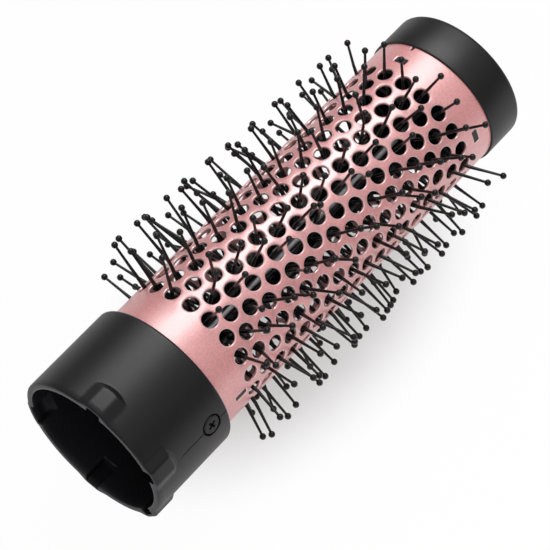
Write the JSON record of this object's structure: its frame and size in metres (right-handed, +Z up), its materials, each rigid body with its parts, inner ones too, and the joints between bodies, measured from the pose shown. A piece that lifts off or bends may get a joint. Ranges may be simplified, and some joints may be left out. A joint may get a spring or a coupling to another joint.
{
  "type": "heated round brush head",
  "caption": "Round brush head for a hot-air styler: coupling socket, drilled aluminium barrel, ball-tipped pin strips and end cap.",
  "frame": {"origin": "centre of the coupling socket's mouth, on the barrel's axis, in the plane of the mouth rim", "axes": "+X along the barrel's axis from the mouth to the end cap, +Z up as the brush lies on its pins"},
  "size_m": [0.1487, 0.061, 0.0607],
  "materials": {
    "black_plastic": "fine matte moulded",
    "rose_aluminium": "satin anodised rose",
    "inner_plastic": "plain moulded",
    "bright_steel": "zinc plated",
    "black_steel": "black oxide",
    "black_nylon": "glossy nylon"
  },
  "bodies": {
    "root": {"socket": "black_plastic", "barrel": "rose_aluminium", "end_cap": "black_plastic", "rear_sleeve": "inner_plastic", "rear_spider": "inner_plastic", "front_sleeve": "inner_plastic", "front_spider": "inner_plastic", "core_rod": "bright_steel", "core_screws": "bright_steel", "socket_screws": "black_steel", "bristle_strip_01": "black_nylon", "bristle_strip_02": "black_nylon", "bristle_strip_03": "black_nylon", "bristle_strip_04": "black_nylon", "bristle_strip_05": "black_nylon", "bristle_strip_06": "black_nylon", "bristle_strip_07": "black_nylon", "bristle_strip_08": "black_nylon", "bristle_strip_09": "black_nylon", "bristle_strip_10": "black_nylon"}
  },
  "joints": []
}
